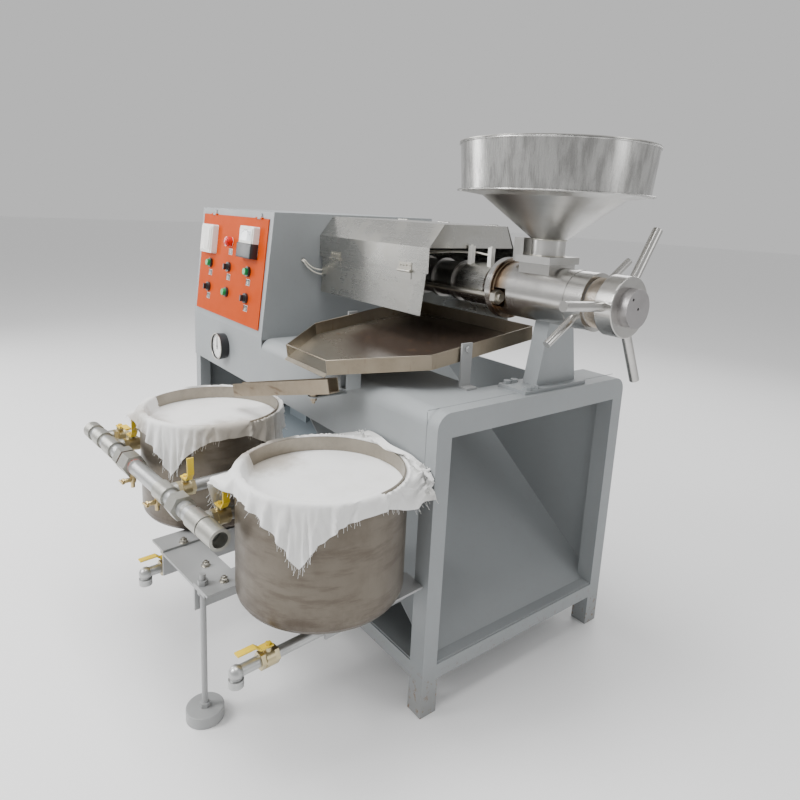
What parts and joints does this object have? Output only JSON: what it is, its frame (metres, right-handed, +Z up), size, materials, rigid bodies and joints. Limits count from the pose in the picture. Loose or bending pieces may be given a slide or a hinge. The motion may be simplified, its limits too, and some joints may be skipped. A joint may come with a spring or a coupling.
{
  "type": "oil press",
  "caption": "Screw oil press on a grey sheet-metal base with a hooded barrel, hopper, sloping oil tray, control cabinet and cloth-covered vacuum filter drums.",
  "frame": {"origin": "on the floor, below the middle of the bounding box", "axes": "+X to the right along the press screw towards the hopper end, +Y to the back, +Z up"},
  "size_m": [1.483, 1.0568, 1.1943],
  "materials": {
    "grey_paint": "satin",
    "orange_paint": "satin",
    "machine_paint": "satin",
    "yellow_paint": "gloss",
    "white_plastic": "matte",
    "black_plastic": "matte",
    "green_plastic": "gloss",
    "cast_iron": "rough",
    "belt_rubber": "matte",
    "turned_steel": "brushed",
    "stainless": "brushed",
    "zinc_steel": "satin",
    "galvanised": "satin",
    "white_ceramic": "gloss",
    "filter_cloth": "matte",
    "cable_sheath": "matte"
  },
  "bodies": {
    "frame": {"base_shell": "grey_paint", "cabinet_shell": "grey_paint", "cake_chute": "grey_paint", "ceramic_terminals": "white_ceramic", "drain_pipes": "galvanised", "drum_arms": "grey_paint", "far_cloth": "filter_cloth", "feed_housing": "turned_steel", "filter_drums": "stainless", "filter_plates": "stainless", "gearbox_casing": "machine_paint", "heater_band": "turned_steel", "heater_cable_1": "cable_sheath", "heater_cable_2": "cable_sheath", "hold_down_hoops": "stainless", "hood_rear_panel": "stainless", "hopper": "stainless", "housing_pedestal": "grey_paint", "leveling_leg": "zinc_steel", "lower_frame": "grey_paint", "manifold_pipes": "galvanised", "motor_body": "machine_paint", "near_cloth": "filter_cloth", "oil_tray": "stainless", "pipe_fittings": "galvanised", "press_barrel": "turned_steel", "tie_rods": "turned_steel", "tray_bracket": "grey_paint", "trough_arm": "stainless", "v_belts": "belt_rubber", "vacuum_gauge": "black_plastic", "vacuum_pump": "machine_paint", "valve_bodies": "zinc_steel"},
    "panel": {"control_panel": "orange_paint", "panel_instruments": "white_plastic", "switch_bezels": "black_plastic"},
    "hood_cover": {"hood_cover": "stainless", "flap_hinges": "stainless"},
    "hood_flap": {"hood_flap": "stainless"},
    "end_cap": {"end_cap": "turned_steel"},
    "adjusting_nut": {"adjusting_nut": "turned_steel"},
    "lock_nut": {"lock_nut": "turned_steel"},
    "press_screw": {"press_screw": "turned_steel"},
    "gearbox_pulley": {"gearbox_pulley": "cast_iron"},
    "motor_pulley": {"motor_pulley": "cast_iron"},
    "swivel_trough": {"swivel_trough": "stainless"},
    "hopper_lid": {"hopper_lid": "stainless"},
    "gauge_needle": {"gauge_needle": "black_plastic"},
    "drain_lever_far": {"drain_lever_far": "yellow_paint"},
    "drain_lever_near": {"drain_lever_near": "yellow_paint"},
    "green_button_1": {"green_button_1": "green_plastic"},
    "green_button_2": {"green_button_2": "green_plastic"},
    "green_button_3": {"green_button_3": "green_plastic"},
    "lever_bleed": {"lever_bleed": "yellow_paint"},
    "lever_far": {"lever_far": "yellow_paint"},
    "lever_near": {"lever_near": "yellow_paint"},
    "lever_pump": {"lever_pump": "yellow_paint"},
    "selector_1": {"selector_1": "black_plastic"},
    "selector_2": {"selector_2": "black_plastic"},
    "selector_3": {"selector_3": "black_plastic"}
  },
  "joints": [
    {"name": "panel_hinge", "type": "hinge", "parent": "frame", "child": "panel", "pos_m": [-0.475, -0.04349, 1.00536], "axis": [-1, 0, 0], "range_deg": [0, 100]},
    {"name": "green_button_1_press", "type": "slide", "parent": "panel", "child": "green_button_1", "axis": [0, 0.994, -0.1098], "range_m": [0, 0.004], "stiffness_N_per_m": 300},
    {"name": "selector_1_turn", "type": "hinge", "parent": "panel", "child": "selector_1", "pos_m": [-0.475, -0.05745, 0.849], "axis": [0, -0.994, 0.1098], "range_deg": [-45, 45]},
    {"name": "green_button_2_press", "type": "slide", "parent": "panel", "child": "green_button_2", "axis": [0, 0.994, -0.1098], "range_m": [0, 0.004], "stiffness_N_per_m": 300},
    {"name": "selector_2_turn", "type": "hinge", "parent": "panel", "child": "selector_2", "pos_m": [-0.623, -0.06606, 0.771], "axis": [0, -0.994, 0.1098], "range_deg": [-45, 45]},
    {"name": "green_button_3_press", "type": "slide", "parent": "panel", "child": "green_button_3", "axis": [0, 0.994, -0.1098], "range_m": [0, 0.004], "stiffness_N_per_m": 300},
    {"name": "selector_3_turn", "type": "hinge", "parent": "panel", "child": "selector_3", "pos_m": [-0.33, -0.06606, 0.771], "axis": [0, -0.994, 0.1098], "range_deg": [-45, 45]},
    {"name": "gauge_needle_turn", "type": "hinge", "parent": "frame", "child": "gauge_needle", "pos_m": [-0.477, -0.102, 0.6], "axis": [0, 1, 0], "range_deg": [-135, 135]},
    {"name": "hood_cover_hinge", "type": "hinge", "parent": "frame", "child": "hood_cover", "pos_m": [0.038, 0.363, 1.02], "axis": [-1, 0, 0], "range_deg": [0, 100]},
    {"name": "hood_flap_hinge", "type": "hinge", "parent": "hood_cover", "child": "hood_flap", "pos_m": [0.038, 0.1035, 0.905], "axis": [-1, 0, 0], "range_deg": [0, 160]},
    {"name": "end_cap_slide", "type": "slide", "parent": "frame", "child": "end_cap", "axis": [1, 0, 0], "range_m": [-0.003, 0.003]},
    {"name": "adjusting_nut_turn", "type": "hinge", "parent": "end_cap", "child": "adjusting_nut", "pos_m": [0.705, 0.251, 0.884], "axis": [1, 0, 0], "range_deg": [-270, 270]},
    {"name": "lock_nut_turn", "type": "hinge", "parent": "frame", "child": "lock_nut", "pos_m": [0.632, 0.251, 0.884], "axis": [1, 0, 0], "range_deg": [-90, 90]},
    {"name": "screw_turn", "type": "hinge", "parent": "end_cap", "child": "press_screw", "pos_m": [0.2, 0.251, 0.884], "axis": [1, 0, 0], "continuous": true},
    {"name": "gearbox_pulley_turn", "type": "hinge", "parent": "frame", "child": "gearbox_pulley", "pos_m": [-0.69, 0.251, 0.77], "axis": [1, 0, 0], "continuous": true},
    {"name": "motor_pulley_turn", "type": "hinge", "parent": "frame", "child": "motor_pulley", "pos_m": [-0.69, 0.251, 0.223], "axis": [1, 0, 0], "continuous": true},
    {"name": "trough_swivel", "type": "hinge", "parent": "frame", "child": "swivel_trough", "pos_m": [0.22836, -0.15678, 0.634], "axis": [0, 0, 1], "range_deg": [-15, 10]},
    {"name": "hopper_lid_lift", "type": "slide", "parent": "frame", "child": "hopper_lid", "axis": [0, 0, 1], "range_m": [0, 0.3]},
    {"name": "lever_bleed_turn", "type": "hinge", "parent": "frame", "child": "lever_bleed", "pos_m": [-0.21507, -0.45894, 0.48], "axis": [0, 0, 1], "range_deg": [0, 90]},
    {"name": "lever_far_turn", "type": "hinge", "parent": "frame", "child": "lever_far", "pos_m": [-0.14035, -0.4524, 0.48], "axis": [0, 0, 1], "range_deg": [0, 90]},
    {"name": "lever_pump_turn", "type": "hinge", "parent": "frame", "child": "lever_pump", "pos_m": [0.16847, -0.42538, 0.48], "axis": [0, 0, 1], "range_deg": [0, 90]},
    {"name": "lever_near_turn", "type": "hinge", "parent": "frame", "child": "lever_near", "pos_m": [0.32288, -0.41187, 0.48], "axis": [0, 0, 1], "range_deg": [0, 90]},
    {"name": "drain_lever_near_turn", "type": "hinge", "parent": "frame", "child": "drain_lever_near", "pos_m": [0.49188, -0.39307, 0.272], "axis": [0, 0, 1], "range_deg": [0, 90]},
    {"name": "drain_lever_far_turn", "type": "hinge", "parent": "frame", "child": "drain_lever_far", "pos_m": [0.09996, -0.44543, 0.272], "axis": [0, 0, 1], "range_deg": [-90, 0]}
  ],
  "couplings": [
    {"joint": "end_cap_slide", "follows": "adjusting_nut_turn", "m_per_rad": 0.00063662},
    {"joint": "gearbox_pulley_turn", "follows": "screw_turn", "ratio": 12.5},
    {"joint": "motor_pulley_turn", "follows": "screw_turn", "ratio": 22.321}
  ]
}
